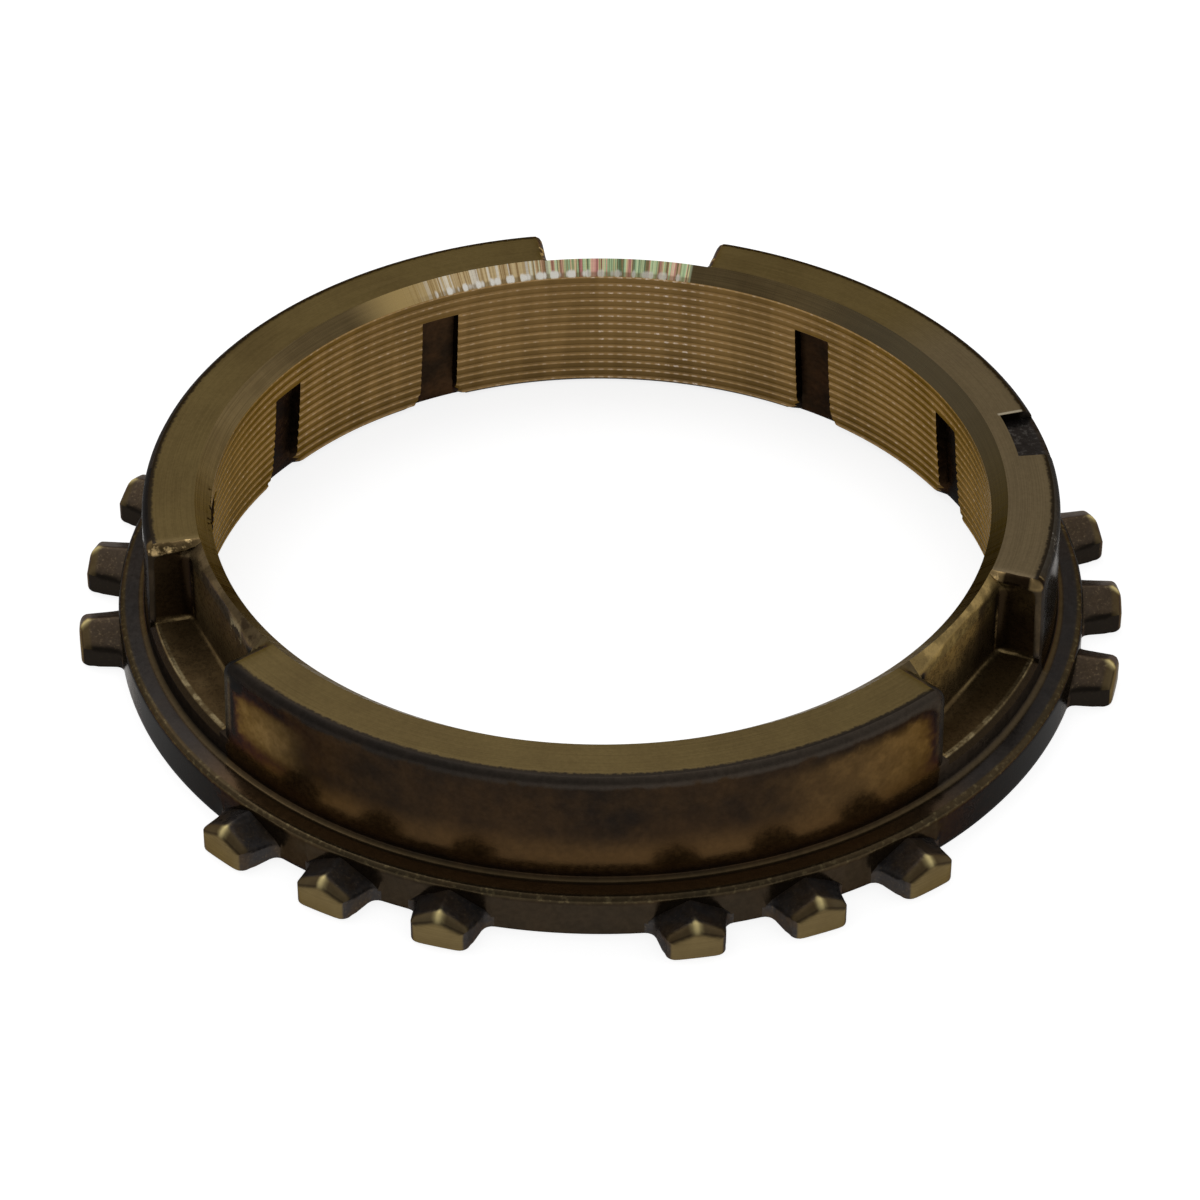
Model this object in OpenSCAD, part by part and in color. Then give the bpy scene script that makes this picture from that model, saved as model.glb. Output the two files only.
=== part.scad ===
// Synchronizer ring of a manual gearbox: a brass forging, turned on its cone, top face and tooth tips.
// The axis is Z and the gear-side face lies at z = 0, so the ring rests on the face that turns to the gear.
// The middle of one raised segment points to -Y, and the key slots lie halfway between the segments.

/* [Friction cone] */
// Diameter of the cone at the gear-side face
cone_d = 60; // [50:0.5:80]
// Half angle of the cone, in degrees
cone_half_angle = 6.5; // [5:0.25:8]
// Chamfer where the cone meets the gear-side face
cone_chamfer = 0.5; // [0.2:0.05:0.8]
// Height of the relief that is turned into the cone's upper end
relief_h = 1; // [0.6:0.1:1.6]
// Widening of the bore by that relief, on the radius
relief_w = 1.17; // [0.6:0.01:1.4]

/* [Raised segments] */
// Number of raised segments, and of the key slots between them
segment_count = 3; // [2:1:4]
// Height from the gear-side face to the top face
ring_h = 12.1; // [10.5:0.1:15]
// Distance from the cone's edge at the gear-side face out to the wall's foot
wall_t = 4; // [3.4:0.1:6]
// Draft of the wall's outer side, in degrees
wall_draft = 1.5; // [0:0.5:4]
// Fillet between the wall and the flange
wall_fillet = 0.4; // [0.2:0.05:0.6]
// Rounding along the top edges of a segment
wall_round = 0.7; // [0.3:0.05:0.8]
// Rounding of the upright edges at a segment's ends
end_round = 1.2; // [0.3:0.05:1.6]

/* [Flange] */
// Width of the flange outside the wall
flange_w = 2; // [1.2:0.1:4]
// Thickness of the flange
flange_t = 3.3; // [2.8:0.1:4]
// Rounding of the rim's upper edge
flange_round = 0.4; // [0.2:0.05:0.6]
// Rounding of the rim's lower edge
foot_round = 0.15; // [0.05:0.05:0.4]

/* [Oil grooves] */
// Number of grooves behind each raised segment
grooves_per_segment = 3; // [1:1:3]
// Angle between neighbouring grooves, in degrees
groove_step = 30; // [20:1:30]
// Turn of the grooves against the middles of the segments, in degrees
groove_turn = -0.8; // [-2:0.1:2]
// Width of a groove
groove_w = 3; // [1.5:0.1:3.5]
// Depth of a groove below the cone
groove_depth = 0.8; // [0.4:0.1:1.2]
// Height of the plain cone between a groove's upper end and the relief
groove_land = 2.35; // [1:0.05:4]

/* [Key slots] */
// Half angle between a slot's end walls, in degrees
slot_half_angle = 12; // [9:0.5:14]
// Height of the slot's floor above the flange
ledge_h = 2; // [1.2:0.1:4]
// Thickness of the thin wall between the flat inner side and the cone, at the floor
web_t = 0.8; // [0.6:0.05:1.4]
// Fillet between that flat and the floor
slot_fillet = 0.35; // [0.1:0.05:0.6]
// Depth of the thin wall's rim below the top face, at the relief's upper edge
rim_drop = 0.1; // [0.05:0.05:0.5]
// Slope of that rim down to the flat, in degrees
rim_slope = 40; // [20:5:60]
// Chamfer along the outer edge of the floor
ledge_chamfer = 0.45; // [0.2:0.05:0.8]

/* [Dog teeth] */
// Tooth positions on the whole circle
tooth_positions = 27; // [24:1:30]
// Teeth on each side of a segment's middle
teeth_beside = 3; // [1:1:3]
// Reach of a tooth past the flange
tooth_l = 3; // [2:0.1:5]
// Width of a tooth where it leaves the flange
tooth_root_w = 5; // [4:0.1:5.4]
// Width of a tooth at its tip
tooth_tip_w = 4.15; // [3:0.05:5]
// Depth of a tooth's ridge below the upper side of the flange
tooth_drop = 0.45; // [0.2:0.05:0.8]
// Slope of the roof to both sides, in degrees
tooth_roof_angle = 28; // [15:1:35]
// Height that the blunted nose takes off the ridge at the tip
tooth_nose = 0.7; // [0.3:0.05:1]
// Slope of the nose to both sides, in degrees
tooth_nose_angle = 15; // [5:1:25]
// Fillet in the corners beside a tooth's root
tooth_fillet = 0.8; // [0.3:0.05:1]

/* [Identification notch] */
// Angle of the notch from the middle of its segment, in degrees
mark_angle = -15; // [-30:1:30]
// Width of the notch
mark_w = 5.5; // [3:0.1:7]
// Depth of the notch in the top face
mark_depth = 0.7; // [0.3:0.1:1]
// Width of the top face that is left between the notch and the bore
mark_land = 1.3; // [0.7:0.1:2.4]

/* [Hidden] */

// Steps along a quarter of a small rounding, and sides of the large circles
round_steps = 6;
$fn = 180;

// Reach of the cutters past the solid that they cut
clear = 2;

wall_r = cone_d / 2 + wall_t;
flange_r = wall_r + flange_w;
tip_r = flange_r + tooth_l;
slot_floor = flange_t + ledge_h;
tooth_ridge_h = flange_t - tooth_drop;
sector = 360 / segment_count;
tooth_pitch = 360 / tooth_positions;

// Middles of the raised segments, the first one at the front
segment_angles = [for (i = [0 : segment_count - 1]) i * sector - 90];

// Radius of the cone, and of the wall's outer side, at height z
function cone_r(z) = cone_d / 2 - z * tan(cone_half_angle);
function outer_r(z) = wall_r - (z - flange_t) * tan(wall_draft);

// Points along an arc, from one angle to the other
function arc(centre, radius, from, to) =
    [for (i = [0 : round_steps]) let (a = from + (to - from) * i / round_steps)
        centre + radius * [cos(a), sin(a)]];

relief_z = ring_h - relief_h;
land_r = cone_r(relief_z) + relief_w;
groove_top = relief_z - groove_land;
slot_flat = cone_r(slot_floor) + web_t;

// Centre of the rounding that is tangent to the drafted wall and to the top face
wall_round_r = outer_r(ring_h - wall_round) - wall_round / cos(wall_draft);

// Centre of the fillet that is tangent to the drafted wall and to the flange
wall_fillet_r = outer_r(flange_t + wall_fillet) + wall_fillet / cos(wall_draft);

// Section of the turned forging through a raised segment
module ring_section() {
    polygon(concat(
        [[cone_r(cone_chamfer), cone_chamfer]],
        [[cone_r(0) + cone_chamfer, 0]],
        arc([flange_r - foot_round, foot_round], foot_round, -90, 0),
        arc([flange_r - flange_round, flange_t - flange_round], flange_round, 0, 90),
        arc([wall_fillet_r, flange_t + wall_fillet], wall_fillet, 270, 180 + wall_draft),
        arc([wall_round_r, ring_h - wall_round], wall_round, wall_draft, 90),
        [[land_r, ring_h]],
        [[cone_r(relief_z), relief_z]]
    ));
}

// Space on the inner side of one end wall of a slot that lies along X, flared over the rounded top edge
module slot_side() {
    rotate([0, 0, slot_half_angle])
    rotate([90, 0, 90])
    linear_extrude(tip_r)
    polygon(concat(
        [[-tip_r, 0]],
        [[0, 0]],
        arc([wall_round, ring_h - wall_round], wall_round, 180, 90),
        [[wall_round, ring_h + clear]],
        [[-tip_r, ring_h + clear]]
    ));
}

// Section of a slot along its middle: the flat inner side, its fillet and the floor
module slot_section() {
    polygon(concat(
        [[slot_flat, ring_h + clear]],
        arc([slot_flat + slot_fillet, slot_floor + slot_fillet], slot_fillet, 180, 270),
        [[tip_r, slot_floor]],
        [[tip_r, ring_h + clear]]
    ));
}

// Height of the thin wall's sloping rim at radius r
function rim_z(r) = ring_h - rim_drop - (r - land_r) * tan(rim_slope);

// Section of what is turned off in a slot: the space above the rim, and the floor's outer chamfer
module slot_turned_section() {
    rim_r = cone_r(relief_z);
    edge_r = outer_r(slot_floor) - ledge_chamfer;
    past_r = wall_r + clear;
    polygon([
        [rim_r, rim_z(rim_r)],
        [past_r, rim_z(past_r)],
        [past_r, ring_h + clear],
        [rim_r, ring_h + clear]
    ]);
    polygon([
        [edge_r, slot_floor],
        [past_r, slot_floor + edge_r - past_r],
        [past_r, slot_floor + clear],
        [edge_r, slot_floor + clear]
    ]);
}

// What rounds the upright outer edge of one end wall, leaning inwards with the drafted wall
module slot_corner() {
    rotate([0, 0, slot_half_angle])
    translate([outer_r(slot_floor), 0, slot_floor])
    rotate([0, -wall_draft, 0])
    linear_extrude(ring_h)
    polygon(concat(
        [[-end_round, -clear]],
        [[clear, -clear]],
        [[clear, end_round]],
        arc([-end_round, end_round], end_round, 0, -90)
    ));
}

// Key slot that lies along X
module key_slot() {
    intersection() {
        union() {
            rotate([90, 0, 0])
            linear_extrude(2 * tip_r, center = true)
            slot_section();
            rotate_extrude()
            slot_turned_section();
        }
        slot_side();
        mirror([0, 1, 0])
        slot_side();
    }
    slot_corner();
    mirror([0, 1, 0])
    slot_corner();
}

// Oil groove that lies along X, with its bottom parallel to the cone
module oil_groove() {
    rotate([90, 0, 0])
    linear_extrude(groove_w, center = true)
    polygon([
        [cone_r(-clear) - clear, -clear],
        [cone_r(-clear) + groove_depth, -clear],
        [cone_r(groove_top) + groove_depth, groove_top],
        [cone_r(groove_top) - clear, groove_top]
    ]);
}

// Notch along X in the top face, open to the outside
module mark_notch() {
    translate([land_r + mark_land, -mark_w / 2, ring_h - mark_depth])
    cube([tip_r, mark_w, mark_depth + clear]);
}

// Plan of a tooth that points along X: tapered flanks, with fillets into the flange
module tooth_plan() {
    taper = atan((tooth_root_w - tooth_tip_w) / 2 / (tip_r - flange_r));
    flank = [sin(taper), cos(taper)];
    along = [cos(taper), -sin(taper)];
    flank_at = flank * [flange_r, tooth_root_w / 2];
    fillet_at = sqrt(pow(flange_r + tooth_fillet, 2) - pow(flank_at + tooth_fillet, 2));
    fillet_centre = (flank_at + tooth_fillet) * flank + fillet_at * along;
    fillet_turn = atan2(fillet_centre.y, fillet_centre.x);
    inner = flange_r - clear;
    half = concat(
        arc(fillet_centre, tooth_fillet, 180 + fillet_turn, 270 - taper),
        [[tip_r + clear, tooth_tip_w / 2 - clear * tan(taper)]]
    );
    side = concat([[inner, half[0].y]], half);
    mirrored = [for (i = [len(side) - 1 : -1 : 0]) [side[i].x, -side[i].y]];
    polygon(concat(side, mirrored));
}

// Prism under a ridge along X that passes through the origin, with both sides sloping down by an angle
module roof_prism(angle) {
    half_w = tooth_root_w;
    drop = half_w * tan(angle);
    rotate([90, 0, 90])
    linear_extrude(4 * tip_r, center = true)
    polygon([[-half_w, -drop], [-half_w, -tip_r], [half_w, -tip_r], [half_w, -drop], [0, 0]]);
}

// Dog tooth that points along X: a roof, a nose that slopes at 45 degrees and a turned end face
module dog_tooth() {
    intersection() {
        linear_extrude(ring_h)
        tooth_plan();
        translate([0, 0, tooth_ridge_h])
        roof_prism(tooth_roof_angle);
        translate([tip_r, 0, tooth_ridge_h - tooth_nose])
        rotate([0, 45, 0])
        roof_prism(tooth_nose_angle);
        cylinder(h = ring_h, r = tip_r);
    }
}

module synchro_ring() {
    color("#5c5036")
    difference() {
        union() {
            rotate_extrude()
            ring_section();
            for (middle = segment_angles, side = [-1, 1], i = [1 : teeth_beside])
                rotate([0, 0, middle + side * i * tooth_pitch])
                dog_tooth();
        }
        for (middle = segment_angles) {
            rotate([0, 0, middle + sector / 2])
            key_slot();
            for (i = [0 : grooves_per_segment - 1])
                rotate([0, 0, middle + groove_turn + (i - (grooves_per_segment - 1) / 2) * groove_step])
                oil_groove();
        }
        rotate([0, 0, segment_angles[1] + mark_angle])
        mark_notch();
    }
}

synchro_ring();
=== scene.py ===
import math

import bmesh
import bpy
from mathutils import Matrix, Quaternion, Vector, noise


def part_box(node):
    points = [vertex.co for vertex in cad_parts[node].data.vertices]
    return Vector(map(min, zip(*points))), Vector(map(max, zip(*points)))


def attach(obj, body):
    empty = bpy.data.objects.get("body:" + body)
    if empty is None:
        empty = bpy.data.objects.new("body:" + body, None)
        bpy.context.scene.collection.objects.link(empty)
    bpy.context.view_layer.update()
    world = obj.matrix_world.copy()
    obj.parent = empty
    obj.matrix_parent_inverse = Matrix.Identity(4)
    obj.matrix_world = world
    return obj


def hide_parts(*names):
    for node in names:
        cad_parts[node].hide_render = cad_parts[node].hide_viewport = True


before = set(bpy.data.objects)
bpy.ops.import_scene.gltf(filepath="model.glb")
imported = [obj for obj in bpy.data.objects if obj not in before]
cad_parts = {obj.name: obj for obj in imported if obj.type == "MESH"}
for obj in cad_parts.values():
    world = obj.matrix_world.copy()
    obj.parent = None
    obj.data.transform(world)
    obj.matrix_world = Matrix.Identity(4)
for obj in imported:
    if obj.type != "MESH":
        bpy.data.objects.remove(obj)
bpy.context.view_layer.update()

# Forged blank. The ring is one brass forging: a flange, and on it a tall wall that is broken into
# raised segments. The wall's edges stay round from the die, and its foot runs out in a small fillet.
mm = 0.001
ring_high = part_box("synchro_ring")[1]
ring_h = round(ring_high.z / mm, 2)
tip_r = round(ring_high.x / mm, 1)

flange_r = tip_r - 3.0
flange_t = 3.3
flange_round = 0.4
foot_round = 0.15
wall_r = flange_r - 2.0
wall_draft = math.tan(math.radians(1.5))
wall_fillet = 0.4
wall_round = 0.7
front_end_round = 1.2
front_top_round = 1.8
end_round = 0.45
low_row_z = 4.4
face_rows = (31.8, 33.6)
segment_middles = (-90.0, 30.0, 150.0)
front_reach = 55.0


def wall_out_r(z):
    """Radius of the wall's drafted outer side."""
    return wall_r - (z - flange_t) * wall_draft


def arc(r, z, radius, start, stop, steps):
    """Points along an arc in the section, with its angles in degrees."""
    turns = [math.radians(start + (stop - start) * i / steps) for i in range(steps + 1)]
    return [(r + radius * math.cos(turn), z + radius * math.sin(turn)) for turn in turns]


def fall(distance, radius):
    """How far a rounded edge has fallen back at a distance from the face that it turns into."""
    if distance >= radius:
        return 0.0
    return radius - math.sqrt(radius ** 2 - (radius - max(distance, 0.0)) ** 2)


def nearest(angle, places):
    """Signed angle from the nearest of some places on the circle, in degrees."""
    return min(((angle - place + 180) % 360 - 180 for place in places), key=abs)


# Friction cone. The bore is turned to a cone with a fine thread that cuts through the oil film.
# Its upper end has a sloping relief, and its lower end a small chamfer.
cone_foot_r = 30.0
cone_slope = math.tan(math.radians(6.5))
cone_chamfer = 0.5
relief_z = ring_h - 1.0
relief_w = 1.17
land_r = cone_foot_r - relief_z * cone_slope + relief_w
thread_top = relief_z - 0.1
thread_pitch = 0.8
thread_turns = 13
thread_depth = 0.085
thread_crest = 0.42
thread_flank = 0.155


def cone_r(z):
    """Radius of the cone, over the crests of the thread."""
    return cone_foot_r - z * cone_slope


def bore_points():
    """The relief and the thread, from the middle of the relief down to the chamfer."""
    edge_r = cone_r(relief_z)
    points = [((edge_r + land_r) / 2, (relief_z + ring_h) / 2), (edge_r, relief_z)]
    for turn in range(thread_turns):
        z = thread_top - turn * thread_pitch
        crest_end = z - thread_crest
        root_start = crest_end - thread_flank
        root_end = z - thread_pitch + thread_flank
        points += [(cone_r(z), z), (cone_r(crest_end), crest_end)]
        points += [(cone_r(root) + thread_depth, root) for root in (root_start, root_end)]
    last_z = thread_top - thread_turns * thread_pitch
    return points + [(cone_r(last_z), last_z), (cone_r(cone_chamfer), cone_chamfer)]


# Oil grooves. Blind channels are milled up the cone behind each segment, so that oil can leave the
# thread. Their lower corners are rounded where they open into the gear-side face.
groove_w = 3.0
groove_depth = 0.8
groove_top = relief_z - 2.35
groove_turn = 0.8
groove_flare = 1.6
groove_places = [middle + step - groove_turn for middle in segment_middles for step in (-30, 0, 30)]
groove_half_angle = math.degrees(math.asin(groove_w / 2 / cone_r(4)))


def groove_cut(angle, z):
    """Depth that a groove takes off the cone at an angle and a height."""
    aside = cone_r(z) * math.radians(abs(nearest(angle, groove_places)))
    edge = groove_w / 2 + 0.7 * fall(z, groove_flare)
    soft = 0.1 + 0.9 * max(0.0, 1 - z / groove_flare)
    share = min(1.0, max(0.0, (edge - aside) / soft + 0.5))
    return groove_depth * share * share * (3 - 2 * share) if z < groove_top else 0.0


# Key slots. Between the segments the forging drops to a ledge for the synchronizer keys. A thin wall
# with a flat outer side stays in front of the cone, and its rim slopes away from the relief.
# Each slot's middle and its half angle, in degrees.
slots = ((-28.6, 11.4), (89.6, 12.0), (-151.3, 11.7))
slot_middles = [middle for middle, half in slots]
slot_floor = flange_t + 2.0
thin_wall_t = 0.8
slot_flat = cone_r(slot_floor) + thin_wall_t
slot_fillet = 0.35
slot_corner = 0.6
ledge_chamfer = 0.45
rim_drop = 0.1
rim_slope = math.tan(math.radians(40))
rim_bend = 0.6


def rim_z(r):
    """Height of the thin wall's sloping rim."""
    return ring_h - rim_drop - (r - land_r) * rim_slope


def crest_point():
    """The rim's highest line, where it meets the relief."""
    relief_run = (land_r - cone_r(relief_z)) / (ring_h - relief_z)
    drop = rim_drop / (1 + rim_slope * relief_run)
    return land_r - drop * relief_run, ring_h - drop


def past_end(angle):
    """Angle past the nearest slot's end, in degrees. It is less than 0 inside the slot."""
    return min(abs(nearest(angle, [middle])) - half for middle, half in slots)


def slot_points(angle):
    """The ledge, the flat and the rim at an angle inside a slot."""
    to_end = -wall_r * math.radians(past_end(angle))
    flat_r = slot_flat / math.cos(math.radians(nearest(angle, slot_middles))) + fall(to_end, slot_corner)
    floor_z = slot_floor + fall(to_end, slot_fillet)
    edge_r = wall_out_r(slot_floor) - ledge_chamfer
    inner_r = flat_r + slot_fillet
    top_z = rim_z(flat_r)
    points = [(wall_out_r(z), z) for z in (low_row_z, slot_floor - ledge_chamfer)]
    points += [(edge_r, slot_floor), (edge_r - 0.35, slot_floor)]
    points += [(0.4 * edge_r + 0.6 * inner_r, floor_z)]
    points += arc(inner_r, floor_z + slot_fillet, slot_fillet, 270, 180, 3)
    foot_z = floor_z + slot_fillet
    bend = min(rim_bend, 0.7 * (flat_r - land_r))
    bend_z = top_z - bend
    bend_r = flat_r - 0.8 * bend
    points += [(flat_r, foot_z + (bend_z - foot_z) * share) for share in (0.2, 0.4, 0.6, 0.8, 1)]
    for share in (0.25, 0.5, 0.75):
        near, middle, far = (1 - share) ** 2, 2 * share * (1 - share), share ** 2
        r = (near + middle) * flat_r + far * bend_r
        points.append((r, near * bend_z + middle * top_z + far * rim_z(bend_r)))
    for share in (0, 0.17, 0.34, 0.5, 0.67, 0.85):
        r = bend_r + (land_r - bend_r) * share
        points.append((r, rim_z(r)))
    return points + [crest_point()]


# Identification notch. One segment has a shallow notch milled across its top face, open to the outside.
# It tells the rings of neighbouring gears apart. Its inner side lies on one of the rows of points that cross
# the top faces, so these rows are set here.
mark_place = segment_middles[1] - 15
mark_half_w = 2.75
mark_middle_r = 32.6
mark_half_angle = math.degrees(math.asin(mark_half_w / mark_middle_r))
mark_floor = ring_h - 0.7
mark_inner_r = land_r + 1.3
# Each outer row's radius, and its share of the rounding at a segment's end.
outer_rows = ((32.7, 1.0), (32.3, 0.7), (31.9, 0.4), (31.55, 0.2))
inner_rows = (30.66, 30.3)


def segment_points(angle, in_front):
    """The wall's outer side, its rounded edge and the top face, at an angle from the nearest slot's end."""
    from_end = wall_r * math.radians(angle)
    back = fall(from_end, front_end_round if in_front else end_round)
    sunk = fall(from_end, front_top_round if in_front else wall_round)
    top_z = ring_h - sunk
    heights = [low_row_z, slot_floor - ledge_chamfer, slot_floor]
    points = [(wall_out_r(z), z) for z in heights]
    low_z = slot_floor + 0.02
    round_z = top_z - wall_round
    heights = [low_z + (round_z - low_z) * share for share in (0, 0.15, 0.3, 0.45, 0.6, 0.75, 0.88)]
    points += [(wall_out_r(z) - back, z) for z in heights]
    points += arc(wall_out_r(round_z) - wall_round - back, round_z, wall_round, 0, 90, 5)
    top_rows = [r - share * back for r, share in outer_rows] + [mark_inner_r, *inner_rows]
    points += [(r, max(top_z, rim_z(r))) for r in top_rows]
    crest_r, crest_z = crest_point()
    return points + [(land_r, ring_h) if sunk < ring_h - crest_z else (crest_r, crest_z)]


def notch_points():
    """The same stretch of the section inside the notch."""
    heights = [low_row_z, slot_floor - ledge_chamfer, slot_floor, slot_floor + 0.02]
    heights += [6.2, 7.1, 8.0, 8.9, 9.8, 10.6]
    points = [(wall_out_r(z), z) for z in heights]
    edge_r = wall_out_r(mark_floor)
    shares = (0, 0.04, 0.12, 0.25, 0.4, 0.55, 0.7, 0.82, 0.93, 1)
    points += [(edge_r + (mark_inner_r - edge_r) * share, mark_floor) for share in shares]
    return points + [(r, ring_h) for r in (mark_inner_r, *inner_rows, land_r)]


# Dog teeth. Six teeth beside each segment catch the sleeve. Each has a roof to guide the sleeve's splines
# and a blunted nose, both left from the forging, and an end face that is turned to the outer diameter.
tooth_step = 360 / 27
tooth_places = [middle + step * tooth_step for middle in segment_middles for step in (-1, -2, -3, 1, 2, 3)]
tooth_root_w = 5.0
tooth_tip_w = 4.15
tooth_ridge_h = flange_t - 0.45
tooth_roof_slope = math.tan(math.radians(28))
tooth_nose = 0.7
tooth_nose_slope = math.tan(math.radians(15)) * math.sqrt(2)
tooth_fillet = 0.8
tooth_edge_round = 0.4
tooth_corner_round = 0.75
tooth_ridge_soft = 0.12
tooth_nose_soft = 0.2

taper = math.atan((tooth_root_w - tooth_tip_w) / 2 / (tip_r - flange_r))
flank_normal = Vector((math.sin(taper), math.cos(taper)))
flank_along = Vector((math.cos(taper), -math.sin(taper)))
flank_at = flank_normal.dot(Vector((flange_r, tooth_root_w / 2)))
fillet_run = math.sqrt((flange_r + tooth_fillet) ** 2 - (flank_at + tooth_fillet) ** 2)
fillet_centre = (flank_at + tooth_fillet) * flank_normal + fillet_run * flank_along
fillet_start = fillet_centre - tooth_fillet * flank_normal
fillet_start_angle = math.degrees(math.atan2(fillet_start.y, fillet_start.x))
fillet_stop_angle = math.degrees(math.atan2(fillet_centre.y, fillet_centre.x))


def rim_reach(angle):
    """Radius of the rim at an angle from a tooth's middle: end face, flank, root fillet and flange."""
    angle = abs(angle)
    ray = Vector((math.cos(math.radians(angle)), math.sin(math.radians(angle))))
    if angle >= fillet_stop_angle:
        return flange_r
    if angle >= fillet_start_angle:
        along = fillet_centre.dot(ray)
        return along - math.sqrt(max(0.0, along ** 2 - fillet_centre.length_squared + tooth_fillet ** 2))
    to_flank = flank_at - flank_normal.dot((tip_r - tooth_corner_round / 2) * ray)
    return min(flank_at / flank_normal.dot(ray), tip_r - fall(to_flank, tooth_corner_round))


def tooth_top(r, angle):
    """Height of a tooth's roof and nose, with its edges rounded."""
    at = Vector((r * math.cos(math.radians(angle)), abs(r * math.sin(math.radians(angle)))))
    aside = math.hypot(at.y, tooth_ridge_soft)
    roof = tooth_ridge_h - aside * tooth_roof_slope
    nose = tooth_ridge_h - tooth_nose + (tip_r - r) - aside * tooth_nose_slope
    soft = max(0.0, tooth_nose_soft - abs(roof - nose)) / tooth_nose_soft
    top = min(roof, nose) - tooth_nose_soft / 4 * soft ** 2
    if at.x > fillet_start.x:
        to_side = flank_at - flank_normal.dot(at)
    else:
        to_side = (at - fillet_centre).length - tooth_fillet
    return top - fall(min(to_side, tip_r - r), tooth_edge_round)


def rim_points(angle):
    """The flange's rim or a tooth, from the gear-side face up to the flange's upper side."""
    reach = rim_reach(angle)
    points = arc(reach - foot_round, foot_round, foot_round, -90, 0, 3)
    long = reach - flange_r
    shares = (1, 0.985, 0.95, 0.88, 0.78, 0.66, 0.4, 0.12, 0)
    if long > 0:
        stretch = [(flange_r + long * share, tooth_top(flange_r + long * share, angle)) for share in shares]
    else:
        low, high = foot_round, flange_t - flange_round
        stretch = [(flange_r, low + (high - low) * (i + 1) / (len(shares) + 1)) for i in range(len(shares))]
    return points + stretch + arc(flange_r - flange_round, flange_t - flange_round, flange_round, 0, 90, 4)


# Ring. The section is carried round the axis by extruding its closed loop from station to station, and at
# each station the loop takes the form that the ring has there. The ends of the slots and the sides of the
# notch are double stations, so that they stand upright.
def section(angle):
    """The whole closed section at an angle: gear-side face, rim, wall or slot, and bore."""
    from_tooth = nearest(angle, tooth_places)
    from_mark = nearest(angle, [mark_place])
    bore_edge_r = cone_foot_r + max(cone_chamfer, groove_cut(angle, 0.0) + 0.05)
    points = [(r, 0.0) for r in (bore_edge_r, *face_rows)]
    points += rim_points(from_tooth)
    fillet_z = flange_t + wall_fillet
    points += arc(wall_out_r(fillet_z) + wall_fillet, fillet_z, wall_fillet, 270, 180, 4)
    if past_end(angle) < 0:
        points += slot_points(angle)
    elif abs(from_mark) < mark_half_angle:
        points += notch_points()
    else:
        in_front = abs(nearest(angle, [segment_middles[0]])) < front_reach
        points += segment_points(past_end(angle), in_front)
    for r, z in bore_points():
        points.append((max(r, cone_r(z) + groove_cut(angle, z)), z))
    return points


def stations():
    """Angles at which the section is set, each with the angle whose form it takes there."""
    nudge = 1e-6
    least_step = 0.03
    longest_step = 1.8
    tooth_turns = (0, 0.15, 0.4, 1.1, 1.9, 2.35, 2.65, 2.85, 3.0, 3.1, 3.18, 3.4)
    tooth_turns += (fillet_start_angle, 4.0, 4.25, 4.6)
    angles = [place + side * turn for place in tooth_places for side in (-1, 1) for turn in tooth_turns]
    angles += [place + side * (fillet_stop_angle + nudge) for place in tooth_places for side in (-1, 1)]
    groove_turns = (-0.7, -0.1, 0.1, 0.5, 1.0, 1.6, 2.3, 3.1)
    angles += [place + side * (groove_half_angle + turn)
               for place in groove_places for side in (-1, 1) for turn in groove_turns]
    round_steps = [1 - math.cos(math.radians(step)) for step in range(15, 91, 15)]
    round_turns = [math.degrees(front_top_round * step / wall_r) for step in round_steps]
    chipped_turns = [4.5 + 0.4 * i for i in range(18)]
    angles += [slot_middles[2] + turn for turn in chipped_turns]
    edges = [middle + side * half for middle, half in slots for side in (-1, 1)]
    angles += [edge + side * turn for edge in edges for side in (-1, 1) for turn in round_turns]
    edges += [mark_place - mark_half_angle, mark_place + mark_half_angle]
    pairs = [(angle % 360, angle) for angle in angles]
    pairs += [(edge % 360, edge + side * nudge) for edge in edges for side in (-1, 1)]
    pairs.sort(key=lambda pair: (pair[0], (pair[1] - pair[0] + 180) % 360))
    spaced = [pairs[0]]
    for place, form in pairs[1:] + [(pairs[0][0] + 360, pairs[0][1])]:
        last = spaced[-1][0]
        edge = abs(place - form - round((place - form) / 360) * 360) > 0
        last_edge = abs(last - spaced[-1][1] - round((last - spaced[-1][1]) / 360) * 360) > 0
        if place - last < least_step and not edge:
            continue
        if place - last < least_step and edge and not last_edge:
            spaced.pop()
            last = spaced[-1][0]
        count = max(1, math.ceil((place - last) / longest_step))
        spaced += [(last + (place - last) * i / count,) * 2 for i in range(1, count)]
        spaced.append((place, form))
    return spaced


def at_angle(point, angle):
    """A point of the section, turned round the axis to an angle."""
    r, z = point
    return Vector((r * math.cos(math.radians(angle)), r * math.sin(math.radians(angle)), z)) * mm


def drawn_to(vert, fresh):
    """The new vertex that a vertex of the last station was extruded to."""
    return next(edge.other_vert(vert) for edge in vert.link_edges if edge.other_vert(vert) in fresh)


bm = bmesh.new()
walk = stations()
loop = [bm.verts.new(at_angle(point, walk[0][0])) for point in section(walk[0][1])]
edges = [bm.edges.new((loop[i - 1], loop[i])) for i in range(len(loop))]
for place, form in walk[1:]:
    made = bmesh.ops.extrude_edge_only(bm, edges=edges)["geom"]
    fresh = {item for item in made if isinstance(item, bmesh.types.BMVert)}
    loop = [drawn_to(vert, fresh) for vert in loop]
    edges = [item for item in made if isinstance(item, bmesh.types.BMEdge) and set(item.verts) <= fresh]
    for vert, point in zip(loop, section(form)):
        vert.co = at_angle(point, place)
bmesh.ops.remove_doubles(bm, verts=bm.verts, dist=0.0005 * mm)

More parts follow.
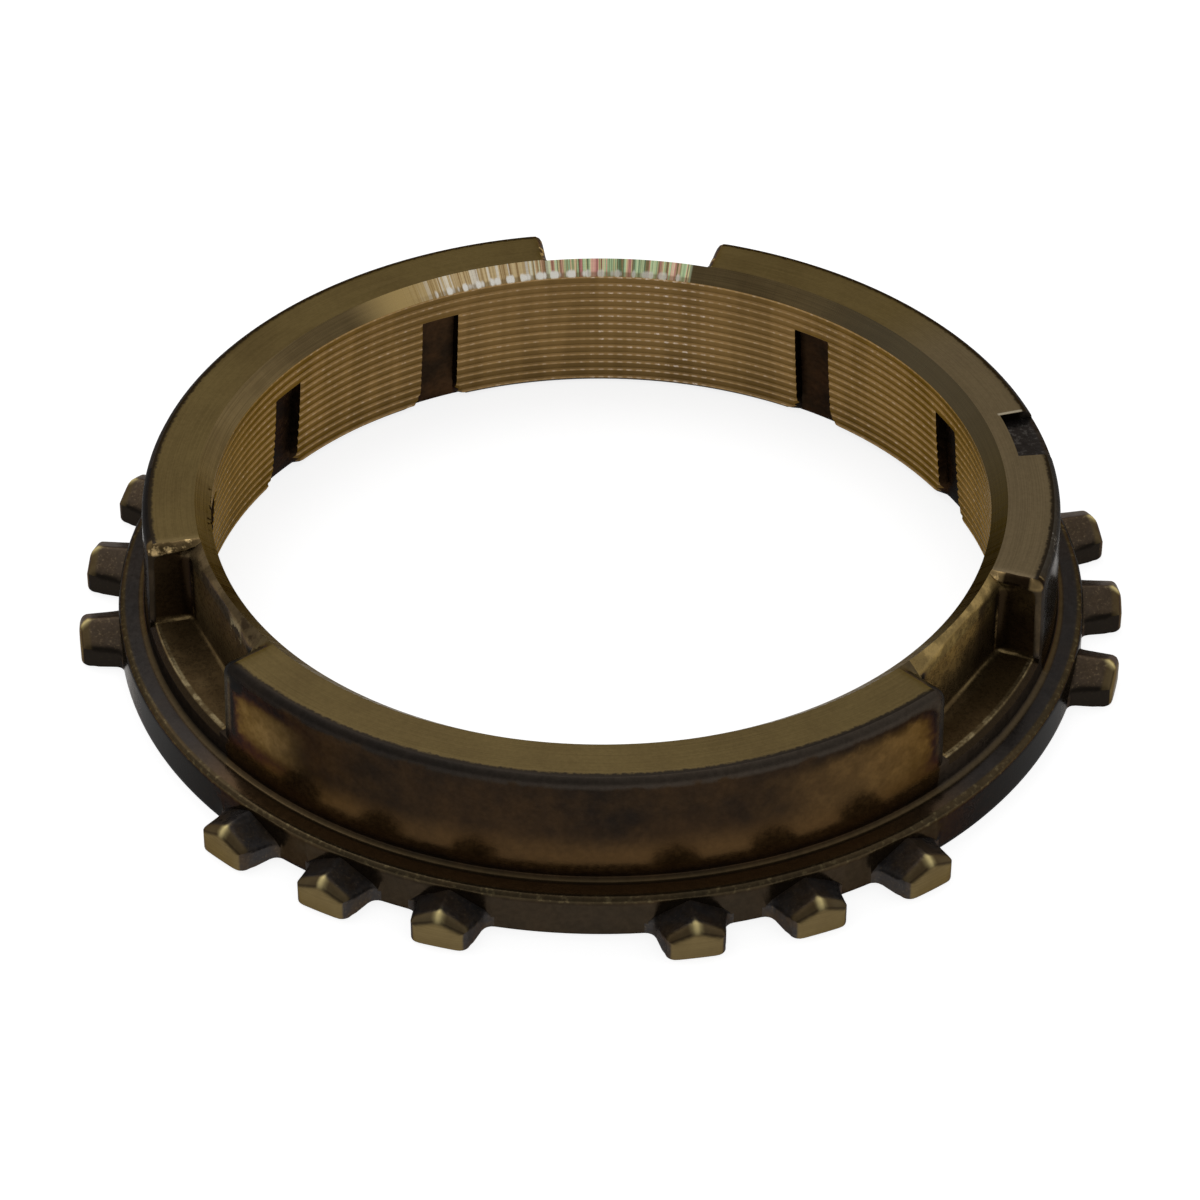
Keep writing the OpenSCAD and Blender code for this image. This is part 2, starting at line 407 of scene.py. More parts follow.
chip_size = 0.55
end_chip = 0.2
end_chip_run = 1.6
rim_chip = 0.35
rim_chip_start, rim_chip_stop = -146.5, -139.7
for vert in bm.verts:
    r = vert.co.xy.length / mm
    z = vert.co.z / mm
    turn = math.degrees(math.atan2(vert.co.y, vert.co.x))
    beyond = past_end(turn)
    chip = max(0.0, noise.noise(vert.co / (chip_size * mm)) + 0.1)
    at_rear = abs(turn - segment_middles[0]) > front_reach
    off_relief = r > land_r + 0.1
    if -0.01 < beyond < end_chip_run and z > ring_h - 0.75 and off_relief and at_rear:
        vert.co.z -= end_chip * mm * chip * (1 - beyond / end_chip_run)
    if rim_chip_start < turn < rim_chip_stop and beyond < -0.01 and z > 9.4 and off_relief:
        vert.co.z -= rim_chip * mm * chip * min(1.0, r - land_r)
bmesh.ops.dissolve_degenerate(bm, edges=bm.edges, dist=0.0005 * mm)
bmesh.ops.recalc_face_normals(bm, faces=bm.faces)

crease = math.radians(32)
for edge in bm.edges:
    edge.smooth = len(edge.link_faces) != 2 or edge.calc_face_angle() < crease
for face in bm.faces:
    face.smooth = True

glint = bm.verts.layers.float.new("glint")
glint_half_w = 0.5
glint_half_l = 0.7
glint_low_z = 1.8
for vert in bm.verts:
    r = vert.co.xy.length / mm
    turn = nearest(math.degrees(math.atan2(vert.co.y, vert.co.x)), tooth_places)
    off_ridge = math.hypot(r * math.radians(turn) / glint_half_w, (r - tip_r + 0.5) / glint_half_l)
    vert[glint] = max(0.0, 1 - off_ridge) if vert.co.z > glint_low_z * mm else 0.0

finishes = ["wall_skin", "slot_skin", "tooth_skin", "turned_face"]
finishes += ["relief_face", "cone_thread", "groove_skin"]


def finish_of(face):
    """Which finish a face of the ring has, from where it lies."""
    centre = face.calc_center_median()
    r = centre.xy.length / mm
    z = centre.z / mm
    outward = face.normal.xy.dot(centre.xy.normalized())
    beyond = past_end(math.degrees(math.atan2(centre.y, centre.x)))
    if z < 0.01 or face.normal.z > 0.9 and z > ring_h - 0.05:
        return "turned_face"
    if z > relief_z and r < land_r and outward < 0:
        return "relief_face"
    if r < cone_r(z) + thread_depth + 0.08 and z < relief_z + 0.01 and outward < -0.05:
        return "cone_thread"
    if r < cone_r(z) + groove_depth + 0.2 and z < groove_top + 0.5 and outward < 0.3:
        return "groove_skin"
    if r > flange_r + 0.02:
        return "tooth_skin"
    if beyond < 0.02 and z > slot_floor - 0.6:
        return "slot_skin"
    return "wall_skin"


for face in bm.faces:
    face.material_index = finishes.index(finish_of(face))

mesh = bpy.data.meshes.new("ring")
bm.to_mesh(mesh)
bm.free()
ring = bpy.data.objects.new("ring", mesh)
bpy.context.scene.collection.objects.link(ring)


# Finishes. The whole ring is brass, but forging, turning and wear leave seven finishes on it. They are
# painted by place on the ring: radius, angle, height, and the way past the nearest slot's end.
def feed(tree, made, values):
    """Gives a node's inputs numbers, colours or other nodes' outputs."""
    for key, value in values.items():
        if isinstance(value, bpy.types.NodeSocket):
            tree.links.new(value, made.inputs[key])
        else:
            made.inputs[key].default_value = value


def node(tree, kind, feeds=(), **settings):
    """Adds a shader node with its inputs and settings."""
    made = tree.nodes.new("ShaderNode" + kind)
    for name, value in settings.items():
        setattr(made, name, value)
    feed(tree, made, dict(feeds))
    return made


def calc(tree, operation, *values):
    """A sum, product or other calculation on values."""
    return node(tree, "Math", dict(enumerate(values)), operation=operation).outputs[0]


def span(tree, value, low, high, to_low=0.0, to_high=1.0):
    """A smooth step of a value between two limits."""
    feeds = {"Value": value, "From Min": low, "From Max": high, "To Min": to_low, "To Max": to_high}
    return node(tree, "MapRange", feeds, interpolation_type="SMOOTHSTEP").outputs[0]


def blend(tree, share, colour, other):
    """A mix of two colours."""
    return node(tree, "Mix", {0: share, 6: colour, 7: other}, data_type="RGBA").outputs[2]


def coat(tree, colour, mask, share, paint):
    """A colour with a share of another one laid over it where a mask is."""
    return blend(tree, calc(tree, "MULTIPLY", mask, share), colour, paint)


def tinted(tree, colour, value):
    """A colour made lighter or darker by a value."""
    return node(tree, "VectorMath", {0: colour, "Scale": value}, operation="SCALE").outputs[0]


def new_group(name, inputs, outputs):
    """An empty node group with named inputs and outputs, all of them values."""
    tree = bpy.data.node_groups.new(name, "ShaderNodeTree")
    for title in inputs:
        tree.interface.new_socket(title, in_out="INPUT", socket_type="NodeSocketFloat")
    for title in outputs:
        tree.interface.new_socket(title, in_out="OUTPUT", socket_type="NodeSocketFloat")
    return tree, tree.nodes.new("NodeGroupInput"), tree.nodes.new("NodeGroupOutput")


def use_group(tree, group, **values):
    """Places a node group in a material, with its own values."""
    made = tree.nodes.new("ShaderNodeGroup")
    made.node_tree = group
    feed(tree, made, values)
    return made.outputs


ring_place, taken, given = new_group("ring_place", [], ["Radius", "Angle", "Height", "Past end"])
part = node(ring_place, "SeparateXYZ", {0: node(ring_place, "TexCoord").outputs["Object"]}).outputs
squares = [calc(ring_place, "POWER", part[axis], 2.0) for axis in ("X", "Y")]
radius = calc(ring_place, "MULTIPLY", calc(ring_place, "SQRT", calc(ring_place, "ADD", *squares)), 1 / mm)
angle = calc(ring_place, "DEGREES", calc(ring_place, "ARCTAN2", part["Y"], part["X"]))
height = calc(ring_place, "MULTIPLY", part["Z"], 1 / mm)
beyond = []
for middle, half in slots:
    turn = calc(ring_place, "WRAP", calc(ring_place, "SUBTRACT", angle, middle), 180.0, -180.0)
    beyond.append(calc(ring_place, "SUBTRACT", calc(ring_place, "ABSOLUTE", turn), half))
least = calc(ring_place, "MINIMUM", beyond[0], calc(ring_place, "MINIMUM", beyond[1], beyond[2]))
feed(ring_place, given, {"Radius": radius, "Angle": angle, "Height": height, "Past end": least})

mottle, taken, given = new_group("mottle", ["Size", "Seed", "Low", "High"], ["Mask"])
scale = calc(mottle, "DIVIDE", 1 / mm, taken.outputs["Size"])
feeds = {"Vector": node(mottle, "TexCoord").outputs["Object"], "W": taken.outputs["Seed"], "Scale": scale}
feeds.update({"Detail": 5.0, "Roughness": 0.6})
cloud = node(mottle, "TexNoise", feeds, noise_dimensions="4D").outputs[0]
mask = span(mottle, cloud, taken.outputs["Low"], taken.outputs["High"])
feed(mottle, given, {"Mask": mask})

turning_lines, taken, given = new_group("turning_lines", ["Across", "Along", "Pitch"], ["Lines"])
step = calc(turning_lines, "DIVIDE", taken.outputs["Across"], taken.outputs["Pitch"])
slow = calc(turning_lines, "MULTIPLY", taken.outputs["Along"], 0.05)
spot = node(turning_lines, "CombineXYZ", {"X": step, "Y": slow}).outputs[0]
feeds = {"Vector": spot, "Scale": 1.0, "Detail": 2.0, "Roughness": 0.7}
streak = node(turning_lines, "TexNoise", feeds, noise_dimensions="2D").outputs[0]
feed(turning_lines, given, {"Lines": span(turning_lines, streak, 0.3, 0.7)})


def start_material(name):
    """A metal material for the ring, with its place values ready."""
    material = bpy.data.materials.new(name)
    material.use_nodes = True
    ring.data.materials.append(material)
    tree = material.node_tree
    return tree, tree.nodes["Principled BSDF"], use_group(tree, ring_place)


def finish_material(tree, shader, colour, rough, height, depth):
    """Feeds a material's shader: colour, roughness and a fine relief of a depth in millimetres."""
    bump = node(tree, "Bump", {"Height": height, "Strength": 1.0, "Distance": depth * mm})
    feed(tree, shader, {"Base Color": colour, "Roughness": rough, "Normal": bump.outputs[0]})


def product(tree, first, *others):
    """The product of several masks."""
    for other in others:
        first = calc(tree, "MULTIPLY", first, other)
    return first


def shaded(tree, colour, mask, low, high):
    """A colour made darker or lighter by a mask, between two factors."""
    return tinted(tree, colour, span(tree, mask, 0.0, 1.0, low, high))


def ridge_line(tree, value, middle, half):
    """A thin soft line where a value passes its middle."""
    return span(tree, calc(tree, "ABSOLUTE", calc(tree, "SUBTRACT", value, middle)), half, 0.25 * half)


def between(tree, value, low, high, soft):
    """A mask that is 1 between two limits, with soft ends."""
    return product(tree, span(tree, value, low - soft, low), span(tree, value, high + soft, high))


def near_edge(tree, distance, reach):
    """The square of how deep a place lies inside a band along an edge."""
    return calc(tree, "POWER", calc(tree, "MAXIMUM", calc(tree, "SUBTRACT", reach, distance), 0.0), 2.0)


# Wall finish. The wall and the flange keep the dark skin of the forging. Brown places low on the wall and at
# the front segment's ends are a painted reflection of the floor. The rear segments' chipped ends show bare
# brass.
tree, shader, place = start_material("wall_skin")
stain = use_group(tree, mottle, Size=7.0, Seed=1.0, Low=0.36, High=0.66)["Mask"]
spots = use_group(tree, mottle, Size=1.8, Seed=2.0, Low=0.4, High=0.68)["Mask"]
specks = use_group(tree, mottle, Size=0.4, Seed=4.0, Low=0.5, High=0.68)["Mask"]
grain = use_group(tree, mottle, Size=0.35, Seed=3.0, Low=0.2, High=0.8)["Mask"]
height = place["Height"]
radius = place["Radius"]
angle = place["Angle"]
on_wall = between(tree, radius, 33.0, 34.2, 0.4)
front = between(tree, angle, -140.4, -39.2, 0.5)
rear = calc(tree, "SUBTRACT", 1.0, front)
from_end = calc(tree, "MULTIPLY", place["Past end"], math.radians(wall_r))
from_top = calc(tree, "SUBTRACT", ring_h, height)
edge_reach = 2.4
end_share = near_edge(tree, calc(tree, "MULTIPLY", from_end, 0.7), edge_reach)
top_share = near_edge(tree, from_top, edge_reach)
inset = calc(tree, "SUBTRACT", edge_reach, calc(tree, "SQRT", calc(tree, "ADD", end_share, top_share)))
inset = calc(tree, "ADD", inset, span(tree, spots, 0.0, 1.0, -0.15, 0.15))
dark_skin = (0.0145, 0.0105, 0.0078, 1)
brown_skin = (0.032, 0.0185, 0.0095, 1)
colour = blend(tree, stain, dark_skin, brown_skin)
colour = coat(tree, colour, spots, 0.3, (0.052, 0.029, 0.0125, 1))
# Painted reflection of the bright floor: brown places low on the wall and near the front segment's ends.
low_reflection = product(tree, on_wall, span(tree, height, 3.6, 4.4), span(tree, height, 7.6, 5.2))
low_reflection = product(tree, low_reflection, span(tree, stain, 0.0, 1.0, 0.65, 1.0))
colour = blend(tree, low_reflection, colour, (0.08, 0.044, 0.0165, 1))
right_end = product(tree, span(tree, angle, -70.0, -48.0), span(tree, height, 5.0, 7.5))
left_end = product(tree, span(tree, angle, -122.5, -131.5), span(tree, height, 6.0, 7.4))
left_end = product(tree, left_end, span(tree, height, 11.2, 9.4))
end_reflection = product(tree, front, on_wall, calc(tree, "MAXIMUM", right_end, left_end))
end_reflection = product(tree, end_reflection, span(tree, inset, 0.8, 2.0), span(tree, spots, 0.0, 1.0, 0.7, 1.0))
end_reflection_paint = blend(tree, span(tree, angle, -110.0, -70.0), (0.165, 0.107, 0.047, 1), (0.125, 0.073, 0.027, 1))
colour = blend(tree, end_reflection, colour, end_reflection_paint)
# The dark band along the top edge, a painted highlight on the front segment's end edges, and the tops of its
# ends.
top_edge = product(tree, on_wall, span(tree, inset, 0.85, 0.45))
edge_tone = blend(tree, span(tree, angle, -125.0, -70.0), (0.02, 0.0175, 0.0155, 1), (0.052, 0.042, 0.033, 1))
colour = coat(tree, colour, top_edge, 0.8, edge_tone)
end_edge_highlight = product(tree, front, span(tree, from_end, 1.75, 1.3), between(tree, height, 6.8, 10.6, 0.9))
end_edge_highlight = product(tree, end_edge_highlight, span(tree, angle, -60.0, -130.0, 0.25, 0.9))
colour = blend(tree, end_edge_highlight, colour, (0.115, 0.098, 0.067, 1))
front_top = product(tree, front, span(tree, from_end, 2.0, 1.6), span(tree, height, 10.5, 11.0))
front_top = product(tree, front_top, span(tree, radius, 33.0, 32.3))
top_tone = blend(tree, span(tree, radius, 30.3, 30.9), (0.085, 0.062, 0.031, 1), (0.11, 0.08, 0.036, 1))
colour = blend(tree, front_top, colour, top_tone)
# The rear segments' ends: brown upright edges with a thin lighter line, and chipped tops with bare brass in
# them.
at_right = between(tree, angle, -25.0, 0.0, 5.0)
right_wall = product(tree, on_wall, between(tree, angle, -18.0, 8.0, 5.0), span(tree, height, 5.2, 6.5))
colour = coat(tree, colour, right_wall, 0.5, (0.06, 0.054, 0.043, 1))
far_edge = product(tree, rear, span(tree, from_end, 2.4, 0.3), span(tree, height, 5.4, 6.0))
far_paint = blend(tree, at_right, (0.032, 0.0225, 0.0135, 1), (0.065, 0.045, 0.024, 1))
colour = coat(tree, colour, far_edge, 0.85, shaded(tree, far_paint, spots, 0.75, 1.2))
far_line = product(tree, rear, ridge_line(tree, from_end, 0.45, 0.2), span(tree, height, 5.4, 6.0), spots)
colour = coat(tree, colour, far_line, 0.35, (0.07, 0.05, 0.026, 1))
far_top = product(tree, rear, span(tree, from_end, 1.1, 0.8), span(tree, height, 11.2, 11.5))
crumbled = blend(tree, spots, (0.075, 0.05, 0.021, 1), (0.19, 0.13, 0.058, 1))
colour = coat(tree, colour, far_top, 0.9, crumbled)
# Painted glints on the chipped tops; at the right slot's far end, painted shade between two corner glints.
crumb_glints = use_group(tree, mottle, Size=0.7, Seed=11.0, Low=0.52, High=0.62)["Mask"]
outer_corner = product(tree, span(tree, radius, 32.7, 33.0), span(tree, from_end, 0.6, 0.35))
corners = calc(tree, "MAXIMUM", span(tree, radius, 31.0, 30.6), outer_corner)
right_top = product(tree, far_top, between(tree, angle, -18.0, -14.0, 0.5))
shaded_top = product(tree, right_top, calc(tree, "SUBTRACT", 1.0, corners))
colour = coat(tree, colour, shaded_top, 0.9, (0.012, 0.0065, 0.0035, 1))
kept = calc(tree, "SUBTRACT", 1.0, shaded_top)
colour = blend(tree, product(tree, far_top, crumb_glints, kept), colour, (0.6, 0.43, 0.2, 1))
gleam = product(tree, right_top, corners, span(tree, crumb_glints, 0.0, 1.0, 0.25, 1.0))
colour = blend(tree, gleam, colour, (0.62, 0.43, 0.19, 1))
flake = product(tree, between(tree, angle, -10.5, -6.5, 1.5), span(tree, height, 11.1, 11.5), specks)
colour = coat(tree, colour, flake, 0.5, (0.5, 0.46, 0.4, 1))
# The notch's floor, and the flange's rim, top, foot and side, with painted highlights along the rim and the
# foot.
on_notch = product(tree, between(tree, angle, 9.5, 20.5, 0.5), between(tree, radius, 31.0, 33.3, 0.3))
on_notch = product(tree, on_notch, span(tree, height, 11.55, 11.45))
colour = blend(tree, on_notch, colour, (0.026, 0.0225, 0.0205, 1))
colour = blend(tree, product(tree, on_notch, specks, 0.5), colour, (0.11, 0.1, 0.09, 1))
# A painted highlight along the flange's rounded rim.
on_rim = product(tree, span(tree, radius, 35.3, 35.6), span(tree, height, 2.7, 3.0))
on_rim = product(tree, on_rim, span(tree, specks, 0.0, 1.0, 0.3, 0.9))
colour = blend(tree, on_rim, colour, (0.105, 0.08, 0.04, 1))
on_top = product(tree, between(tree, radius, 34.6, 35.4, 0.2), span(tree, height, 3.4, 3.32))
at_front = between(tree, angle, -125.0, -55.0, 20.0)
top_paint = blend(tree, at_front, (0.032, 0.03, 0.029, 1), (0.12, 0.067, 0.027, 1))
colour = coat(tree, colour, on_top, 0.75, top_paint)
foot_highlight = product(tree, ridge_line(tree, radius, 34.25, 0.3), span(tree, height, 4.0, 3.6))
colour = coat(tree, colour, foot_highlight, 0.5, (0.1, 0.07, 0.033, 1))
on_side = product(tree, span(tree, radius, 35.6, 35.9), span(tree, height, 2.9, 2.6))
colour = coat(tree, colour, on_side, 0.7, (0.043, 0.032, 0.0205, 1))
colour = shaded(tree, colour, grain, 0.85, 1.15)
rough = calc(tree, "ADD", span(tree, grain, 0.0, 1.0, 0.16, 0.24), calc(tree, "MULTIPLY", top_edge, 0.2))
feed(tree, shader, {"Metallic": 0.75, "Specular IOR Level": 0.1, "Specular Tint": (0.15, 0.12, 0.09, 1)})
finish_material(tree, shader, colour, rough, grain, 0.0025)

# Slot finish. The thin wall and the ledge of a key slot are rubbed to golden brown by the keys. Painted shade
# darkens their corners, and painted highlights run along the ledge's edge and the fillets.
tree, shader, place = start_material("slot_skin")
stain = use_group(tree, mottle, Size=4.0, Seed=21.0, Low=0.36, High=0.66)["Mask"]
spots = use_group(tree, mottle, Size=1.2, Seed=22.0, Low=0.42, High=0.66)["Mask"]
pits = use_group(tree, mottle, Size=0.9, Seed=24.0, Low=0.5, High=0.6)["Mask"]
grain = use_group(tree, mottle, Size=0.3, Seed=23.0, Low=0.2, High=0.8)["Mask"]
height = place["Height"]
radius = place["Radius"]
angle = place["Angle"]
to_end = calc(tree, "MULTIPLY", place["Past end"], -math.radians(wall_r - 2))
right = between(tree, angle, -45.0, -15.0, 2.0)
brown_slot = (0.073, 0.046, 0.0195, 1)
golden_slot = (0.125, 0.083, 0.037, 1)
colour = blend(tree, stain, brown_slot, golden_slot)
# The thin wall, golden above with painted shade low down near the right far end, the ledge, and the worn rim.
upper = product(tree, span(tree, height, 6.5, 9.5), span(tree, right, 0.0, 1.0, 0.22, 1.0))
upper = product(tree, upper, span(tree, spots, 0.0, 1.0, 0.55, 1.0))
colour = blend(tree, upper, colour, (0.34, 0.215, 0.072, 1))
far_low_shade = product(tree, right, span(tree, angle, -31.0, -26.0), span(tree, height, 10.0, 8.8))
colour = coat(tree, colour, far_low_shade, 0.6, (0.02, 0.0125, 0.005, 1))
dim_ledge = product(tree, right, span(tree, height, 5.7, 5.4), span(tree, radius, 31.0, 31.4))
colour = coat(tree, colour, dim_ledge, 0.6, (0.05, 0.03, 0.0115, 1))
on_rim = product(tree, span(tree, height, 10.3, 10.6), span(tree, radius, 31.6, 31.2))
rim_paint = blend(tree, right, (0.1, 0.073, 0.04, 1), (0.29, 0.205, 0.08, 1))
colour = coat(tree, colour, on_rim, 0.8, shaded(tree, rim_paint, spots, 0.7, 1.3))
# Dark ends, painted shade in the corners, and the chips and the pale patch on the left slot's rim.
under_rim = calc(tree, "MAXIMUM", span(tree, height, 11.2, 10.6), span(tree, radius, 31.2, 31.5))
on_end = product(tree, span(tree, to_end, 1.4, 0.6), span(tree, height, 5.5, 5.8), under_rim)
dusk = blend(tree, span(tree, height, 9.5, 5.5), (0.013, 0.0068, 0.0033, 1), (0.04, 0.0225, 0.009, 1))
colour = coat(tree, colour, on_end, 0.9, dusk)
corner_shade = product(tree, span(tree, to_end, 0.95, 0.65), span(tree, radius, 31.7, 31.3))
corner_shade = product(tree, corner_shade, between(tree, height, 5.8, 10.8, 0.3))
colour = coat(tree, colour, corner_shade, 0.8, (0.014, 0.0075, 0.0032, 1))
far_corner_shade = product(tree, right, span(tree, to_end, 4.6, 3.0), span(tree, angle, -29.0, -27.0))
far_corner_shade = product(tree, far_corner_shade, between(tree, height, 6.0, 11.2, 0.4), span(tree, radius, 31.9, 31.5))
colour = coat(tree, colour, far_corner_shade, 0.75, (0.024, 0.0145, 0.0062, 1))
chips = product(tree, between(tree, angle, -145.5, -139.6, 0.8), span(tree, height, 9.6, 10.2), pits)
colour = coat(tree, colour, chips, 0.7, (0.026, 0.016, 0.009, 1))
patch = product(tree, between(tree, angle, -146.6, -144.6, 1.4), between(tree, height, 10.2, 10.9, 0.8))
patch = product(tree, patch, span(tree, spots, 0.1, 0.5))
colour = blend(tree, patch, colour, (0.42, 0.35, 0.22, 1))
# The ledge's chamfer, and painted highlights along the ledge's edge and in the fillets.
on_chamfer = product(tree, span(tree, radius, 33.55, 33.65), span(tree, height, 5.6, 5.3))
colour = blend(tree, on_chamfer, colour, (0.03, 0.02, 0.0105, 1))
broken = span(tree, spots, 0.0, 1.0, 0.15, 1.0)
ledge_highlight = product(tree, between(tree, radius, 33.3, 33.54, 0.12), between(tree, height, 5.25, 5.4, 0.1))
colour = blend(tree, product(tree, ledge_highlight, broken), colour, (0.3, 0.235, 0.125, 1))
floor_highlight = product(tree, ridge_line(tree, to_end, 0.16, 0.13), between(tree, height, 5.3, 5.45, 0.12))
floor_highlight = product(tree, floor_highlight, span(tree, spots, 0.0, 1.0, 0.4, 0.95))
colour = blend(tree, floor_highlight, colour, (0.42, 0.3, 0.135, 1))
corner_highlight = product(tree, ridge_line(tree, to_end, 0.5, 0.15), between(tree, height, 6.0, 9.0, 0.8), broken)
corner_highlight = product(tree, corner_highlight, span(tree, right, 0.0, 1.0, 0.2, 1.0))
colour = blend(tree, corner_highlight, colour, (0.42, 0.27, 0.115, 1))
flat_foot_highlight = product(tree, between(tree, height, 5.36, 5.42, 0.06), span(tree, radius, 31.4, 30.9), broken)
colour = coat(tree, colour, flat_foot_highlight, 0.5, (0.26, 0.185, 0.08, 1))
colour = shaded(tree, colour, grain, 0.88, 1.12)
rough = span(tree, grain, 0.0, 1.0, 0.24, 0.34)
feed(tree, shader, {"Metallic": 0.6, "Specular IOR Level": 0.1, "Specular Tint": (0.15, 0.12, 0.09, 1)})
finish_material(tree, shader, colour, rough, grain, 0.003)

# Tooth finish. The teeth keep the dark skin of the forging, with bright specks. Their noses are painted
# lighter as lit, the side teeth's front flanks carry painted shade, and the turned end faces are bare brass.
tree, shader, place = start_material("tooth_skin")
stain = use_group(tree, mottle, Size=2.4, Seed=31.0, Low=0.36, High=0.66)["Mask"]
specks = use_group(tree, mottle, Size=0.2, Seed=32.0, Low=0.52, High=0.76)["Mask"]
grain = use_group(tree, mottle, Size=0.35, Seed=33.0, Low=0.2, High=0.8)["Mask"]
lines = use_group(tree, turning_lines, Across=place["Height"], Along=place["Angle"], Pitch=0.06)["Lines"]
sides = span(tree, calc(tree, "ABSOLUTE", calc(tree, "ADD", place["Angle"], 90.0)), 45.0, 65.0)
grey_tooth = (0.046, 0.042, 0.041, 1)
brown_tooth = (0.066, 0.046, 0.03, 1)
colour = blend(tree, stain, grey_tooth, brown_tooth)
colour = coat(tree, colour, sides, 0.8, (0.062, 0.043, 0.027, 1))
bright = product(tree, specks, span(tree, sides, 0.0, 1.0, 0.3, 0.65))
colour = blend(tree, bright, colour, (0.24, 0.175, 0.1, 1))
colour = shaded(tree, colour, grain, 0.85, 1.15)
# Painted shade on flanks, painted light on noses with a shade line, a glint on the ridge, and bare end faces.
normal = node(tree, "SeparateXYZ", {0: node(tree, "NewGeometry").outputs["Normal"]}).outputs
facing = normal["Z"]
flank_shade = product(tree, sides, span(tree, normal["Y"], -0.55, -0.8))
colour = coat(tree, colour, flank_shade, 0.92, (0.013, 0.0105, 0.0083, 1))
# Painted light on the noses' upward facets.
nose = product(tree, span(tree, place["Radius"], 38.05, 38.4), span(tree, facing, 0.3, 0.6))
nose_light = blend(tree, stain, (0.105, 0.075, 0.034, 1), (0.075, 0.05, 0.022, 1))
colour = coat(tree, colour, nose, 0.8, nose_light)
# A painted shade line along the rounded edge between nose and end face.
seam_shade = product(tree, ridge_line(tree, place["Radius"], 38.84, 0.12), span(tree, facing, 0.2, 0.4))
colour = coat(tree, colour, seam_shade, 0.6, (0.024, 0.016, 0.009, 1))
tip_light = node(tree, "Attribute", attribute_name="glint").outputs["Fac"]
colour = blend(tree, span(tree, tip_light, 0.1, 0.95), colour, (0.7, 0.57, 0.26, 1))
ragged = calc(tree, "ADD", place["Radius"], calc(tree, "MULTIPLY", grain, 0.03))
gold = blend(tree, calc(tree, "MULTIPLY", stain, 0.6), (0.165, 0.119, 0.051, 1), (0.135, 0.095, 0.042, 1))
gold = shaded(tree, gold, lines, 0.92, 1.08)
upright = span(tree, calc(tree, "ABSOLUTE", facing), 0.7, 0.35)
colour = blend(tree, product(tree, span(tree, ragged, 38.8, 38.94), upright), colour, gold)
rough = span(tree, grain, 0.0, 1.0, 0.3, 0.42)
feed(tree, shader, {"Metallic": 0.75, "Specular IOR Level": 0.15, "Specular Tint": (0.3, 0.26, 0.2, 1)})
finish_material(tree, shader, colour, rough, grain, 0.005)

# Turned faces. The top faces of the segments and the gear-side face are bare brass from the lathe, with fine
# lines round the axis. The dark skin begins again at the outer edge of the top faces.
tree, shader, place = start_material("turned_face")
lines = use_group(tree, turning_lines, Across=place["Radius"], Along=place["Angle"], Pitch=0.1)["Lines"]
stain = use_group(tree, mottle, Size=9.0, Seed=5.0, Low=0.38, High=0.68)["Mask"]
grain = use_group(tree, mottle, Size=0.3, Seed=6.0, Low=0.25, High=0.75)["Mask"]
colour = blend(tree, stain, (0.11, 0.079, 0.0335, 1), (0.09, 0.0635, 0.028, 1))
right = between(tree, place["Angle"], -20.0, 35.0, 15.0)
colour = coat(tree, colour, right, 0.6, (0.125, 0.096, 0.062, 1))
colour = shaded(tree, colour, lines, 0.92, 1.07)
colour = shaded(tree, colour, grain, 0.94, 1.06)
ragged = calc(tree, "ADD", place["Radius"], calc(tree, "MULTIPLY", grain, 0.2))
# A painted highlight along the notch's far edge.
notch_edge_highlight = ridge_line(tree, place["Angle"], 20.1, 0.35)
notch_edge_highlight = product(tree, notch_edge_highlight, between(tree, place["Radius"], 31.2, 33.0, 0.2))
colour = coat(tree, colour, notch_edge_highlight, 0.8, (0.4, 0.35, 0.26, 1))
outer = product(tree, span(tree, ragged, 33.0, 33.25), span(tree, place["Height"], 1.0, 2.0))
colour = blend(tree, outer, colour, (0.022, 0.0175, 0.0135, 1))
rough = span(tree, lines, 0.0, 1.0, 0.32, 0.42)
feed(tree, shader, {"Metallic": 1.0, "Specular Tint": (0.5, 0.44, 0.34, 1)})
finish_material(tree, shader, colour, rough, lines, 0.003)

# Relief finish. The relief is bare brass too. At the back, painted colours stand for the light that its tool
# marks split, and a row of painted glints runs along its lower edge.
# Painted glints, in a row of beads along the relief's lower edge.
glint_row, taken, given = new_group("glint_row", ["Angle", "Height"], ["Mask"])
glint_bead_pitch = 2.4
glint_bead_z = relief_z + 0.16
glint_bead_half_h = 0.27
along, level = taken.outputs["Angle"], taken.outputs["Height"]
sway = node(glint_row, "TexNoise", {"W": along, "Scale": 0.6}, noise_dimensions="1D").outputs[0]
step = calc(glint_row, "DIVIDE", along, glint_bead_pitch)
step = calc(glint_row, "ADD", step, calc(glint_row, "MULTIPLY", sway, 1.1))
across = calc(glint_row, "MULTIPLY", calc(glint_row, "SUBTRACT", calc(glint_row, "FRACT", step), 0.5), 2.9)
above = calc(glint_row, "DIVIDE", calc(glint_row, "SUBTRACT", level, glint_bead_z), glint_bead_half_h)
squares = [calc(glint_row, "POWER", way, 2.0) for way in (across, above)]
off = calc(glint_row, "SQRT", calc(glint_row, "ADD", *squares))
strong = between(glint_row, along, 96.0, 119.5, 1.0)
weak = calc(glint_row, "MULTIPLY", between(glint_row, along, 80.5, 96.0, 1.0), 0.55)
where = calc(glint_row, "MAXIMUM", strong, weak)
feed(glint_row, given, {"Mask": product(glint_row, span(glint_row, off, 1.05, 0.5), where)})

